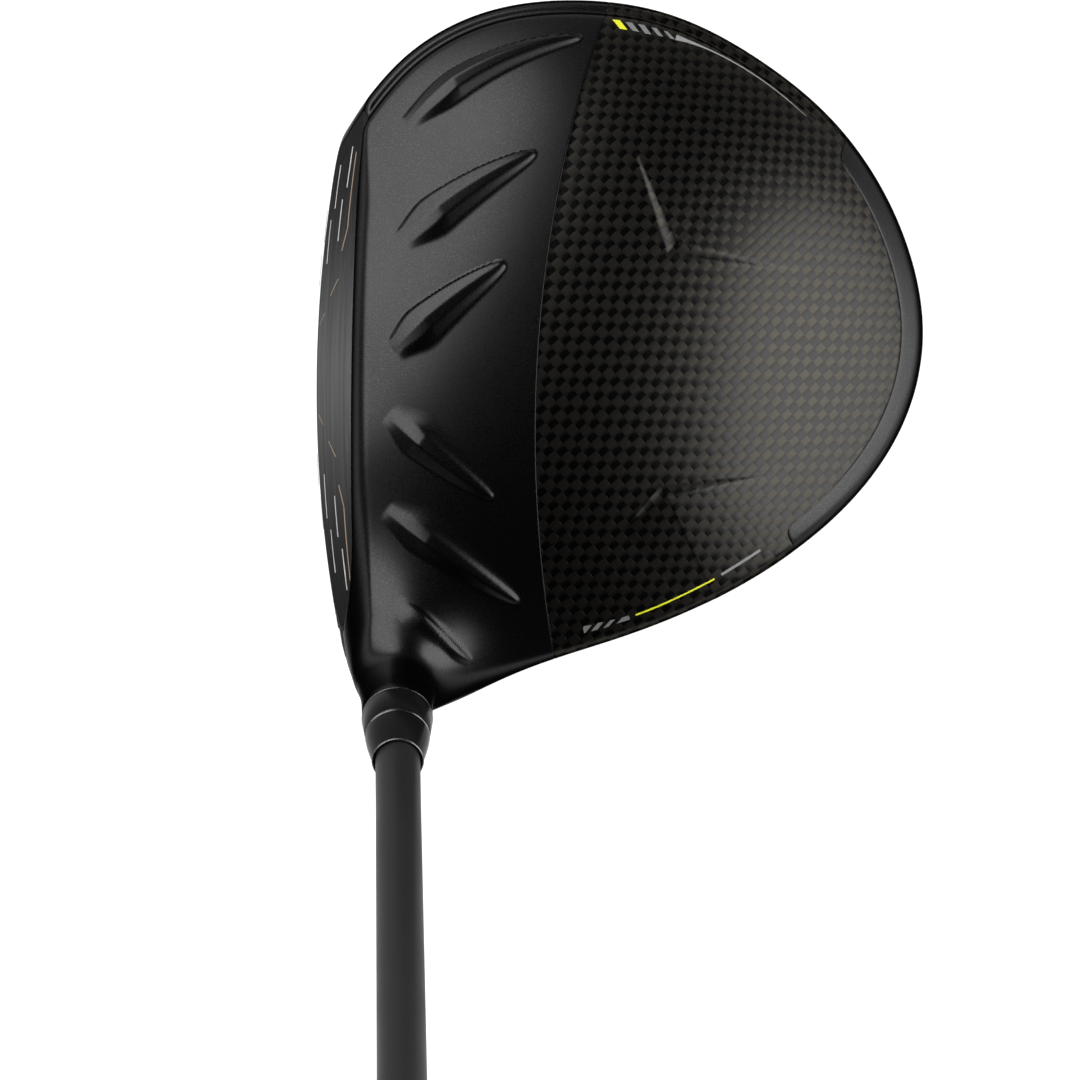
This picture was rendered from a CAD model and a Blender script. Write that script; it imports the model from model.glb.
"""Looks of a golf driver: painted head with raised fins, woven crown, brushed face, shaft and grip.

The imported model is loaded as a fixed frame. Shapes are worked out in millimetres as whole numpy
arrays and written to the meshes in metres, so every piece stands where the frame has it.
"""
import logging
import math
from dataclasses import dataclass, field
from enum import Enum
from typing import Callable

import bmesh
import bpy
import numpy as np
from mathutils import Matrix, Vector


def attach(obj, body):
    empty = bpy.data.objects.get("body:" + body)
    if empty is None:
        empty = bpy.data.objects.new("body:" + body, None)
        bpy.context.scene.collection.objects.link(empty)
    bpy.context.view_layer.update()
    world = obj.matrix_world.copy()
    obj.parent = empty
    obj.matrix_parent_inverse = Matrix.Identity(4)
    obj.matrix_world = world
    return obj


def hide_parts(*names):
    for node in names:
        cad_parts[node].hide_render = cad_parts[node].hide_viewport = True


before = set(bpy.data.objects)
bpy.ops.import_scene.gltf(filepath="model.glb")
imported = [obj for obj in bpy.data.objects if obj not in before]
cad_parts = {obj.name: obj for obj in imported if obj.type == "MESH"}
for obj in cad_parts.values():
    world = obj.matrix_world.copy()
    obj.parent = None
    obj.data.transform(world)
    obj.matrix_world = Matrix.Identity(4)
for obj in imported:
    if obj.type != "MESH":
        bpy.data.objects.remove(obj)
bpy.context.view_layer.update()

MM = 0.001  # one millimetre in metres
WAIST = 24.5  # height of the widest line round the head
HIGH = 70.0  # a height above the whole crown
INSIDE = np.array([8.0, 6.0, WAIST])  # a point from which the whole skin of the head is seen
PAINT_LIP = (0.08, 0.015)  # how far the first two rows of a rolled edge lie below the skin
PANEL_LIP = (0.07, 0.015)  # the same beside the woven panel
WELD = 0.001  # points nearer than this become one
EVENING = 0.25  # share of equal steps in the angles of a ring
LAMP_AIM = Vector((0.01, 0.005, 0.04))  # the place that a lamp faces, in metres
LOG = logging.getLogger("driver")

Array = np.ndarray
Field = Callable[[Array], Array]
Pair = tuple[float, float]
Triple = tuple[float, float, float]
Piece = bpy.types.Object
Material = bpy.types.Material
Socket = bpy.types.NodeSocket


class Body(Enum):
    """Bodies of the frame that pieces ride on."""

    SHAFT = "club_shaft"
    HEAD = "head"


# ---------------------------------------------------------------- small mathematics
def unit(vectors: Array) -> Array:
    """Each vector divided by its own length."""
    return vectors / np.linalg.norm(vectors, axis=-1, keepdims=True)


def ease(share: Array) -> Array:
    """Smooth step: 0 below 0, 1 above 1, level at both ends."""
    held = np.clip(share, 0.0, 1.0)
    return held * held * (3.0 - 2.0 * held)


def sweep(start: Array, end: Array, share: Array) -> Array:
    """Turn unit vectors evenly from one set to another.

    Args:
        start: Unit vectors, one row for each line.
        end: Unit vectors where the lines arrive.
        share: Shares of the way, 0 to 1.

    Returns:
        Array of line, share and coordinate.
    """
    cosine = np.clip(np.sum(start * end, axis=-1), -1.0, 1.0)
    angle = np.maximum(np.arccos(cosine), 1e-6)[:, None, None]
    part = share[None, :, None]
    first = np.sin((1.0 - part) * angle) / np.sin(angle)
    second = np.sin(part * angle) / np.sin(angle)
    return unit(first * start[:, None, :] + second * end[:, None, :])


def round_max(first: Array, second: Array, radius: Array | float) -> Array:
    """Field of the space common to two solids, with the edge between them rounded.

    Args:
        first: Field of one solid.
        second: Field of the other.
        radius: Radius of the rounding.

    Returns:
        Field of what lies in both.
    """
    outer = np.maximum(np.stack([first, second]) + radius, 0.0)
    inner = np.minimum(np.maximum(first, second) + radius, 0.0)
    return inner + np.sqrt(np.sum(outer**2, axis=0)) - radius


def smooth_min(first: Array, second: Array, reach: Array) -> Array:
    """Field of two solids joined with a soft valley of the given reach between them."""
    near = np.maximum(reach - np.abs(first - second), 0.0) / reach
    return np.minimum(first, second) - near * near * near * reach / 6.0


def closed_spline(points: Array, count: int) -> Array:
    """Points along a closed cubic spline through the given points, chords as its parameter.

    The curve's second derivatives come from the usual ring of equations that keeps slope and
    curvature equal on both sides of each point.

    Args:
        points: Points that the curve passes through, in order.
        count: How many points are returned.

    Returns:
        Array of count by 2.
    """
    size = len(points)
    after = np.roll(points, -1, axis=0)
    step = np.linalg.norm(after - points, axis=1)
    before = np.roll(step, 1)
    slope = (after - points) / step[:, None]
    index = np.arange(size)
    ring = np.zeros((size, size))
    ring[index, index] = 2.0 * (step + before)
    ring[index, (index + 1) % size] = step
    ring[index, index - 1] = before
    bend = np.linalg.solve(ring, 6.0 * (slope - np.roll(slope, 1, axis=0)))
    knots = np.concatenate([[0.0], np.cumsum(step)])
    place = np.linspace(0.0, knots[-1], count, endpoint=False)
    piece = np.clip(np.searchsorted(knots, place, side="right") - 1, 0, size - 1)
    width = step[piece][:, None]
    left = (place - knots[piece])[:, None]
    right = width - left
    low, high = bend[piece], bend[(piece + 1) % size]
    start, end = points[piece], after[piece]
    cubic = (low * right**3 + high * left**3) / (6.0 * width)
    return cubic + (start / width - low * width / 6.0) * right + (end / width - high * width / 6.0) * left


# ---------------------------------------------------------------- shape of the head
@dataclass(frozen=True)
class ShaftAxis:
    """The shaft's axis; distances along it start where it meets the ground."""

    foot: Triple = (-22.8, -28.1, 0.0)
    lie: float = math.radians(59.5)

    @property
    def direction(self) -> Array:
        """Unit vector up the shaft."""
        return np.array([0.0, -math.cos(self.lie), math.sin(self.lie)])

    @property
    def across(self) -> Array:
        """Unit vector square to the shaft, in the plane of the lie."""
        return np.array([0.0, math.sin(self.lie), math.cos(self.lie)])

    def split(self, points: Array) -> tuple[Array, Array, Array]:
        """Distance along the axis, distance from it, and angle round it, of each point.

        Args:
            points: Points in millimetres.

        Returns:
            Three arrays in the shape of the points.
        """
        offset = points - np.array(self.foot)
        along = offset @ self.direction
        side = offset @ np.array([1.0, 0.0, 0.0])
        up = offset @ self.across
        return along, np.hypot(side, up), np.arctan2(up, side)

    def angle(self, points: Array) -> Array:
        """Angle of each point round the axis."""
        return self.split(points)[2]

    def circle(self, radius: float, along: float, angle: Array) -> Array:
        """Points of a circle about the axis, at the given angles."""
        return self.place(np.full(angle.shape, radius), np.full(angle.shape, along), angle)

    def place(self, radius: Array, along: Array, angle: Array) -> Array:
        """Points at the given distances from and along the axis.

        Args:
            radius: Distances from the axis.
            along: Distances along it.
            angle: Angles round it.

        Returns:
            The points.
        """
        side = np.array([1.0, 0.0, 0.0])
        out = np.cos(angle)[..., None] * side + np.sin(angle)[..., None] * self.across
        along = np.asarray(along)[..., None]
        return np.array(self.foot) + out * np.asarray(radius)[..., None] + along * self.direction


AXIS = ShaftAxis()


@dataclass(frozen=True)
class Fin:
    """A raised fin on the front of the crown, sharp at its back tip and blunt at its tail."""

    tail: Pair
    tip: Pair
    bow: float
    outer: float = 3.2  # width of the facet away from the middle of the head
    outer_end: float = 0.84  # share of the height where that facet ends in a step
    inner: float = 2.4  # width of the facet towards the middle
    wall: float = 2.2  # width of the wall below it
    wall_end: float = 0.10  # share of the height where the wall runs into its hollow foot
    foot: float = 1.0
    height: float = 2.3

    def raised(self, x: Array, y: Array) -> Array:
        """How far the fin stands above the crown at each place.

        A place is taken as a share of the way from tail to tip and a distance from the bowed
        ridge. The ridge climbs at a steady rate over the first third and sinks towards the tip.
        The section falls in straight runs: on the outer side a facet and a step, on the inner
        side a facet, a steep wall and a hollow foot.

        Args:
            x: Distances to the back.
            y: Distances to the toe.

        Returns:
            Heights above the crown in millimetres.
        """
        start, end = np.array(self.tail), np.array(self.tip)
        length = float(np.linalg.norm(end - start))
        way = (end - start) / length
        outward = math.copysign(1.0, start[1] - 1.0)
        normal = np.array([-way[1], way[0]]) * outward
        u, v = x - start[0], y - start[1]
        share = (u * way[0] + v * way[1]) / length
        held = np.clip(share, 0.0, 1.0)
        offset = u * normal[0] + v * normal[1] - self.bow * 4.0 * held * (1.0 - held)
        spread = np.sqrt(np.clip(1.0 - held, 0.0, 1.0)) * (0.5 + 0.5 * ease(held / 0.28)) + 0.06
        wall = self.inner + self.wall
        section = np.interp(
            offset / spread,
            (
                -wall - self.foot, -wall - 0.4 * self.foot, -wall, -self.inner,
                0.0, self.outer, self.outer + 0.5,
            ),
            (0.0, self.wall_end * 0.36, self.wall_end, 0.78, 1.0, self.outer_end, 0.0),
        )
        crest = np.clip(held / 0.32, 0.0, 1.0) * (1.0 - held) ** 0.4
        inside = ease((share + 0.03) / 0.06) * ease((1.03 - share) / 0.06)
        return self.height * section * crest * inside


@dataclass(frozen=True)
class Crease:
    """A narrow slanted facet that turns a corner in the woven crown and tapers along both arms."""

    corner: Pair
    bright: Pair
    dark: Pair
    width: float = 2.4
    step: float = 1.3

    def raised(self, x: Array, y: Array) -> Array:
        """How far the crown stands up inside the corner, next to the facet.

        The depth inside the nearer arm, over the facet's width there, gives the rise. Width and
        rise shrink to nothing along the arm, and the rise sinks back slowly away from it.

        Args:
            x: Distances to the back.
            y: Distances to the toe.

        Returns:
            Heights above the crown in millimetres.
        """
        corner = np.array(self.corner)
        offset = np.stack([x - corner[0], y - corner[1]], axis=-1)
        arms = [np.array(end) - corner for end in (self.bright, self.dark)]
        lengths = [float(np.linalg.norm(arm)) for arm in arms]
        ways = [arm / length for arm, length in zip(arms, lengths)]
        turn = -math.copysign(1.0, ways[0][0] * ways[1][1] - ways[0][1] * ways[1][0])
        first = -(ways[0][0] * offset[..., 1] - ways[0][1] * offset[..., 0]) * turn
        second = (ways[1][0] * offset[..., 1] - ways[1][1] * offset[..., 0]) * turn
        depth = np.minimum(first, second)
        along = np.where(first < second, (offset @ ways[0]) / lengths[0], (offset @ ways[1]) / lengths[1])
        taper = np.clip(1.0 - np.clip(along, 0.0, 1.0), 0.0, 1.0)
        rise = np.clip(0.5 + depth / np.maximum(self.width * taper, 0.05), 0.0, 1.0)
        return self.step * taper * rise * np.exp(-np.maximum(depth, 0.0) / 8.0)


@dataclass(frozen=True)
class HeadForm:
    """The head's outside as a field in millimetres: below 0 inside, above 0 outside."""

    outline: tuple[Pair, ...] = (
        (-56, 5), (-55, -21), (-44.5, -45.5), (-27, -55.5), (-7.5, -55), (11.5, -50.5), (38, -40.5),
        (56.5, -29), (70.5, -14.5), (77, -1.5), (79, 11.5), (76, 28), (61.5, 52), (47.5, 63.5),
        (29.5, 72.5), (11.5, 75), (-6, 72.5), (-21.5, 63.5), (-34, 48), (-47.5, 29),
    )
    crown_centre: Triple = (6.0, 4.0, -48.5)
    crown_radius: float = 106.0
    sole_radius: float = 156.0
    crown_edge: float = 1.5
    sole_edge: float = 3.4
    face_radius: float = 305.0
    face_middle: Pair = (-35.16, 30.0)
    loft: float = math.radians(9.5)
    face_edge: float = 2.3
    hosel_neck: float = 6.75
    hosel_swell: float = 8.3
    swell_place: float = 47.0
    neck_place: float = 65.0
    root_radius: float = 5.0
    root_place: float = 20.0
    valley: float = 34.0  # reach of the soft valley where the hosel leaves the head
    front_valley: float = 4.0
    toe_rounding: float = 0.8  # radius of the face's edge beyond its toe end
    toe_place: Pair = (34.0, 16.0)  # width where it starts, and its run
    hosel_floor: float = 26.0  # where the hosel starts inside the head
    valley_start: Pair = (-36.0, 8.5)  # place and run over which the valley widens behind the face
    valley_end: Pair = (66.0, 16.0)  # the same up the hosel, where it tightens
    groove: Triple = (0.8, 1.8, 0.75)  # depth, distance inside the edge, and width of the toe's groove
    groove_start: Pair = (20.0, 14.0)  # width where the groove starts, and its run
    groove_end: Pair = (62.0, 10.0)  # distance back where it has ended, and its run
    relief_above: Pair = (25.0, 5.0)  # height from which fins and creases stand up, and their run
    relief_depth: Pair = (9.0, 3.0)  # distance off the plain skin where they have ended, and the run
    fins: tuple[Fin, ...] = (
        Fin((-21.2, 50.2), (12.7, 67.5), 3.2, outer=2.2, inner=1.9, wall=1.7, height=2.7),
        Fin((-22.4, 27.5), (3.6, 45.0), 1.3, outer_end=0.7),
        Fin((-23.8, 6.8), (-2.3, 23.6), 0.9, outer_end=0.72),
        Fin((-24.5, -5.3), (-4.5, -21.3), 0.5, outer_end=0.15, wall=0.9, wall_end=0.32, foot=2.6, height=1.9),
        Fin((-25.0, -23.5), (0.5, -41.1), 0.5, outer_end=0.15, wall=0.9, wall_end=0.32, foot=2.6, height=1.9),
        Fin(
            (-22.8, -41.0), (-8.7, -52.6), 0.4, outer=2.2, outer_end=0.2, inner=1.6, wall=0.8, wall_end=0.3,
            foot=1.2, height=1.4,
        ),
    )
    creases: tuple[Crease, ...] = (
        Crease((29.6, 26.2), (22.7, 45.4), (55.3, 22.0)),
        Crease((27.9, -19.6), (20.1, -27.2), (51.5, -16.1)),
    )
    radial: tuple[Array, Array, Array] = field(init=False, compare=False, repr=False, default=None)

    def __post_init__(self) -> None:
        """Turn the outline into its distance and slope at each angle round the inside point."""
        ring = closed_spline(np.array(self.outline, float), 4096) - INSIDE[:2]
        angle = np.unwrap(np.arctan2(ring[:, 1], ring[:, 0]))
        reach = np.hypot(ring[:, 0], ring[:, 1])
        rate = np.gradient(reach, angle)
        flat = reach / np.hypot(reach, rate)
        order = np.argsort(np.mod(angle, 2.0 * math.pi))
        table = (np.mod(angle, 2.0 * math.pi)[order], reach[order], flat[order])
        object.__setattr__(self, "radial", table)

    @property
    def face_centre(self) -> Array:
        """Middle of the ball whose surface is the face.

        Returns:
            The point.
        """
        x, z = self.face_middle
        inward = np.array([math.cos(self.loft), 0.0, -math.sin(self.loft)])
        return np.array([x, 0.0, z]) + self.face_radius * inward

    def outline_at(self, angle: Array) -> tuple[Array, Array]:
        """Where the outline lies as seen from the inside point.

        Args:
            angle: Angles about the inside point.

        Returns:
            Its distance at each angle, and the share of a step outwards that is square to it.
        """
        turn = np.mod(angle, 2.0 * math.pi)
        table, reach, flat = self.radial
        return tuple(np.interp(turn, table, row, period=2.0 * math.pi) for row in (reach, flat))

    def wall(self, points: Array) -> Array:
        """Distance outside the upright wall over the outline.

        Args:
            points: Points in millimetres.

        Returns:
            Distance of each point, below 0 inside.
        """
        offset = points[..., :2] - INSIDE[:2]
        edge, slope = self.outline_at(np.arctan2(offset[..., 1], offset[..., 0]))
        return (np.hypot(offset[..., 0], offset[..., 1]) - edge) * slope

    def shell(self, points: Array) -> Array:
        """Field of the head as if it had no face and no hosel.

        Args:
            points: Points in millimetres.

        Returns:
            Value of the field at each point.
        """
        crown = np.linalg.norm(points - np.array(self.crown_centre), axis=-1) - self.crown_radius
        sole = np.linalg.norm(points - np.array([0.0, 0.0, self.sole_radius]), axis=-1) - self.sole_radius
        return round_max(round_max(self.wall(points), crown, self.crown_edge), sole, self.sole_edge)

    def face_ball(self, points: Array) -> Array:
        """Distance outside the ball of the face."""
        return np.linalg.norm(points - self.face_centre, axis=-1) - self.face_radius

    def face_rounding(self, width: Array) -> Array:
        """Radius of the face's edge at each place along the face; the toe end is sharper."""
        toe = self.rise(width, self.toe_place)
        return self.face_edge + (self.toe_rounding - self.face_edge) * toe

    def plain(self, points: Array) -> Array:
        """Field of the head without hosel, fins and creases."""
        return round_max(self.shell(points), self.face_ball(points), self.face_rounding(points[..., 1]))

    @staticmethod
    def rise(value: Array, step: Pair) -> Array:
        """Smooth step up that starts at a value and takes the given run."""
        return ease((value - step[0]) / step[1])

    @staticmethod
    def fall(value: Array, step: Pair) -> Array:
        """Smooth step down that ends at a value after the given run."""
        return ease((step[0] - value) / step[1])

    def hosel_radius(self, along: Array) -> Array:
        """Radius of the hosel: it swells from its root and narrows to a straight neck.

        Args:
            along: Distances along the shaft.

        Returns:
            Radius at each of them.
        """
        grow = ease((along - self.root_place) / (self.swell_place - self.root_place))
        shrink = ease((along - self.swell_place) / (self.neck_place - self.swell_place))
        lower = self.root_radius + (self.hosel_swell - self.root_radius) * grow
        return lower + (self.hosel_neck - self.hosel_swell) * shrink

    def with_hosel(self, points: Array) -> Array:
        """Field of the plain head and the hosel, joined by a valley that is tight at the face.

        Args:
            points: Points in millimetres.

        Returns:
            Value of the field at each point.
        """
        along, beside, _ = AXIS.split(points)
        hosel = np.maximum(beside - self.hosel_radius(along), self.hosel_floor - along)
        back = self.rise(points[..., 0], self.valley_start)
        low = self.fall(along, self.valley_end)
        reach = self.front_valley + (self.valley - self.front_valley) * back * low
        return smooth_min(self.plain(points), hosel, reach)

    def relief(self, points: Array) -> Array:
        """How far fins and creases raise the crown, with the groove inside the toe's edge.

        Args:
            points: Points in millimetres.

        Returns:
            Height at each point, below 0 in the groove.
        """
        x, y, z = points[..., 0], points[..., 1], points[..., 2]
        raised = sum(shape.raised(x, y) for shape in self.fins + self.creases)
        depth, place, width = self.groove
        toe = self.rise(y, self.groove_start) * self.fall(x, self.groove_end)
        groove = depth * np.exp(-(((-self.wall(points) - place) / width) ** 2)) * toe
        upper = self.rise(z, self.relief_above)
        return (raised - groove) * upper * self.fall(self.plain(points), self.relief_depth)

    def carve(self, points: Array) -> Array:
        """Move points of the smooth skin straight out by the relief at their place."""
        return points + self.normal(points, self.with_hosel) * self.relief(points)[..., None]

    def shoot(self, directions: Array, inset: Array | float = 0.0, detailed: bool = True) -> Array:
        """Points where lines from the inside point leave the skin.

        The plain form is met by halving the distance, which is safe because it is convex. The
        valley by the hosel then moves each point along its own line, and the fins and creases
        lift it straight off the skin.

        Args:
            directions: Unit vectors of the lines.
            inset: Distance below the skin where a line stops.
            detailed: Whether fins, creases and hosel count.

        Returns:
            Points of the same shape as the directions.
        """
        near = np.zeros(directions.shape[:-1])
        far = np.full(directions.shape[:-1], 150.0)
        for _ in range(26):
            middle = 0.5 * (near + far)
            outside = self.plain(INSIDE + directions * middle[..., None]) > 0.0
            far = np.where(outside, middle, far)
            near = np.where(outside, near, middle)
        reach = 0.5 * (near + far)
        if detailed:
            for _ in range(8):
                here = self.with_hosel(INSIDE + directions * reach[..., None])
                ahead = self.with_hosel(INSIDE + directions * (reach + 0.01)[..., None])
                rate = np.maximum((ahead - here) / 0.01, 0.25)
                reach = reach - np.clip(here / rate, -1.5, 1.5)
        points = INSIDE + directions * reach[..., None]
        points = self.carve(points) if detailed else points
        return points - self.normal(points) * np.asarray(inset)[..., None] if np.any(inset) else points

    def normal(self, points: Array, surface: Field | None = None) -> Array:
        """Outward unit normal of a field, from small steps along each axis.

        Args:
            points: Points in millimetres.
            surface: The field; the plain form where none is given.

        Returns:
            Unit vectors.
        """
        surface = surface or self.plain
        step = np.eye(3) * 0.02
        slope = [surface(points + step[axis]) - surface(points - step[axis]) for axis in range(3)]
        return unit(np.stack(slope, axis=-1) + 1e-12)

    def settle(self, points: Array, surface: Field, rounds: int = 14) -> Array:
        """Move points straight along the slope of a field until they lie on its surface.

        Args:
            points: Points near the surface.
            surface: The field.
            rounds: Number of steps.

        Returns:
            The moved points.
        """
        for _ in range(rounds):
            value = surface(points)
            points = points - self.normal(points, surface) * np.clip(value, -1.0, 1.0)[..., None]
        return points

    def over_plan(self, plan: Array) -> Array:
        """Points of the plain upper skin over points of the plan.

        Args:
            plan: Array of point and coordinate.

        Returns:
            The same points with their heights.
        """

        def place(height: Array) -> Array:
            """Points over the plan at the given heights."""
            return np.concatenate([plan, height[:, None]], axis=-1)

        return place(bisect(lambda height: self.plain(place(height)), WAIST, HIGH, len(plan)))

    def face_x(self, y: Array, z: Array) -> Array:
        """Where the face lies at a width and a height."""
        centre = self.face_centre
        return centre[0] - np.sqrt(self.face_radius**2 - y**2 - (z - centre[2]) ** 2)


FORM = HeadForm()


# ---------------------------------------------------------------- meshes
class Solid:
    """Grids of points in millimetres that are welded into one closed mesh."""

    def __init__(self) -> None:
        """Start with no grids."""
        self.points: list[Array] = []
        self.faces: list[Array] = []
        self.corners: list[Array] = []
        self.count = 0

    def add(self, grid: Array, hole: tuple[int, int, int, int] | None = None) -> None:
        """Take in a grid of points; its cells become four-sided faces.

        Args:
            grid: Array of row, column and coordinate.
            hole: First and last row and column of a block of cells that stays open.
        """
        rows, columns = grid.shape[:2]
        index = np.arange(rows * columns).reshape(rows, columns) + self.count
        cells = np.stack([index[:-1, :-1], index[1:, :-1], index[1:, 1:], index[:-1, 1:]], axis=-1)
        keep = np.ones(cells.shape[:2], bool)
        if hole is not None:
            keep[hole[0]:hole[1], hole[2]:hole[3]] = False
        self.points.append(grid.reshape(-1, 3))
        self.faces.append(cells[keep])
        self.count += rows * columns

    def join(self, first: Array, second: Array) -> None:
        """Fill the flat ring between two round edges about the shaft's axis.

        Both edges are sorted by angle. Each step along one edge makes a triangle with the point
        of the other edge that was passed last.

        Args:
            first: Points of one edge.
            second: Points of the other edge.
        """
        rings, angles = [], []
        for ring in (first, second):
            turn = np.round(np.mod(AXIS.angle(ring), 2.0 * math.pi), 9)
            angle, place = np.unique(turn, return_index=True)
            rings.append(ring[place])
            angles.append(angle)
        here = np.arange(len(rings[0])) + self.count
        there = np.arange(len(rings[1])) + self.count + len(here)
        near = there[np.searchsorted(angles[1], angles[0], "left") - 1]
        far = here[np.searchsorted(angles[0], angles[1], "right") - 1]
        self.corners.append(np.stack([np.roll(here, 1), here, near], axis=-1))
        self.corners.append(np.stack([np.roll(there, 1), there, far], axis=-1))
        self.points += rings
        self.count += len(here) + len(there)

    def build(self, name: str, sharp: float = 50.0) -> Piece:
        """Weld the grids, turn the faces outwards and make the object.

        Args:
            name: Name of the object.
            sharp: Angle in degrees from which an edge stays sharp.

        Returns:
            The new object, at the origin.
        """
        points = np.concatenate(self.points) * MM
        fours = np.concatenate(self.faces).ravel()
        threes = np.concatenate([np.zeros((0, 3), int), *self.corners]).ravel()
        corners = np.concatenate([fours, threes]).astype(np.int32)
        starts = np.concatenate([np.arange(0, fours.size, 4), fours.size + np.arange(0, threes.size, 3)])
        mesh = bpy.data.meshes.new(name)
        mesh.vertices.add(len(points))
        mesh.vertices.foreach_set("co", points.astype(np.float32).ravel())
        mesh.loops.add(corners.size)
        mesh.loops.foreach_set("vertex_index", corners)
        mesh.polygons.add(len(starts))
        mesh.polygons.foreach_set("loop_start", starts.astype(np.int32))
        mesh.update(calc_edges=True)
        form = bmesh.new()
        form.from_mesh(mesh)
        bmesh.ops.remove_doubles(form, verts=form.verts, dist=WELD * MM)
        bmesh.ops.recalc_face_normals(form, faces=form.faces)
        form.to_mesh(mesh)
        form.free()
        mesh.polygons.foreach_set("use_smooth", np.ones(len(mesh.polygons), bool))
        mesh.set_sharp_from_angle(angle=math.radians(sharp))
        piece = bpy.data.objects.new(name, mesh)
        bpy.context.collection.objects.link(piece)
        loose = int(np.count_nonzero(mesh_edge_counts(mesh) != 2))
        LOG.info("%s: %d faces, %d loose edges", name, len(mesh.polygons), loose)
        return piece


def mesh_edge_counts(mesh: bpy.types.Mesh) -> Array:
    """How many faces meet at each edge of a mesh.

    Args:
        mesh: The mesh.

    Returns:
        A count for each edge.
    """
    edges = np.empty(len(mesh.loops), np.int32)
    mesh.loops.foreach_get("edge_index", edges)
    return np.bincount(edges, minlength=len(mesh.edges))


def lay_map(piece: Piece, spread: Callable[[Array], Array]) -> None:
    """Give a piece its own flat map, in tenths of a metre.

    Args:
        piece: The piece.
        spread: Turns points in millimetres into flat coordinates in millimetres.
    """
    mesh = piece.data
    points = np.empty(len(mesh.vertices) * 3, np.float32)
    mesh.vertices.foreach_get("co", points)
    corner = np.empty(len(mesh.loops), np.int32)
    mesh.loops.foreach_get("vertex_index", corner)
    flat = spread(points.reshape(-1, 3).astype(float) / MM) * 0.01
    layer = mesh.uv_layers.new(name="lay")
    layer.data.foreach_set("uv", flat[corner].astype(np.float32).ravel())


def crown_map(points: Array) -> Array:
    """Spread the crown flat: each place keeps its bearing and its arc from the top of the ball.

    Args:
        points: Points in millimetres.

    Returns:
        Flat coordinates in millimetres.
    """
    ray = unit(points - np.array(FORM.crown_centre))
    flat = np.hypot(ray[:, 0], ray[:, 1])
    arc = FORM.crown_radius * np.arctan2(flat, ray[:, 2])
    return ray[:, :2] / np.maximum(flat, 1e-9)[:, None] * arc[:, None] + np.array(FORM.crown_centre[:2])


def even(points: Array, count: int) -> Array:
    """Points at equal steps along an open line of points.

    Args:
        points: Points in order.
        count: How many points are returned.

    Returns:
        Array of count by 3.
    """
    step = np.linalg.norm(np.diff(points, axis=0), axis=1)
    way = np.concatenate([[0.0], np.cumsum(step)])
    place = np.linspace(0.0, way[-1], count)
    return np.stack([np.interp(place, way, points[:, axis]) for axis in range(3)], axis=-1)


def outer_edge(grid: Array) -> Array:
    """The closed line of points round a grid."""
    return np.concatenate([grid[:-1, 0], grid[-1, :-1], grid[:0:-1, -1], grid[0, :0:-1], grid[:1, 0]])


def bearings(points: Array) -> Array:
    """Unit vectors from the inside point to the given points."""
    return unit(points - INSIDE)


def bisect(value: Callable[[Array], Array], low: float, high: float, size: int) -> Array:
    """Where a set of functions that rise from below 0 to above 0 pass 0.

    Args:
        value: The functions, all tried at once.
        low: A place where they are below 0.
        high: A place where they are above 0.
        size: How many functions there are.

    Returns:
        The place for each function.
    """
    near, far = np.full(size, low), np.full(size, high)
    for _ in range(40):
        middle = 0.5 * (near + far)
        above = value(middle) > 0.0
        near, far = np.where(above, near, middle), np.where(above, middle, far)
    return 0.5 * (near + far)


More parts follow.
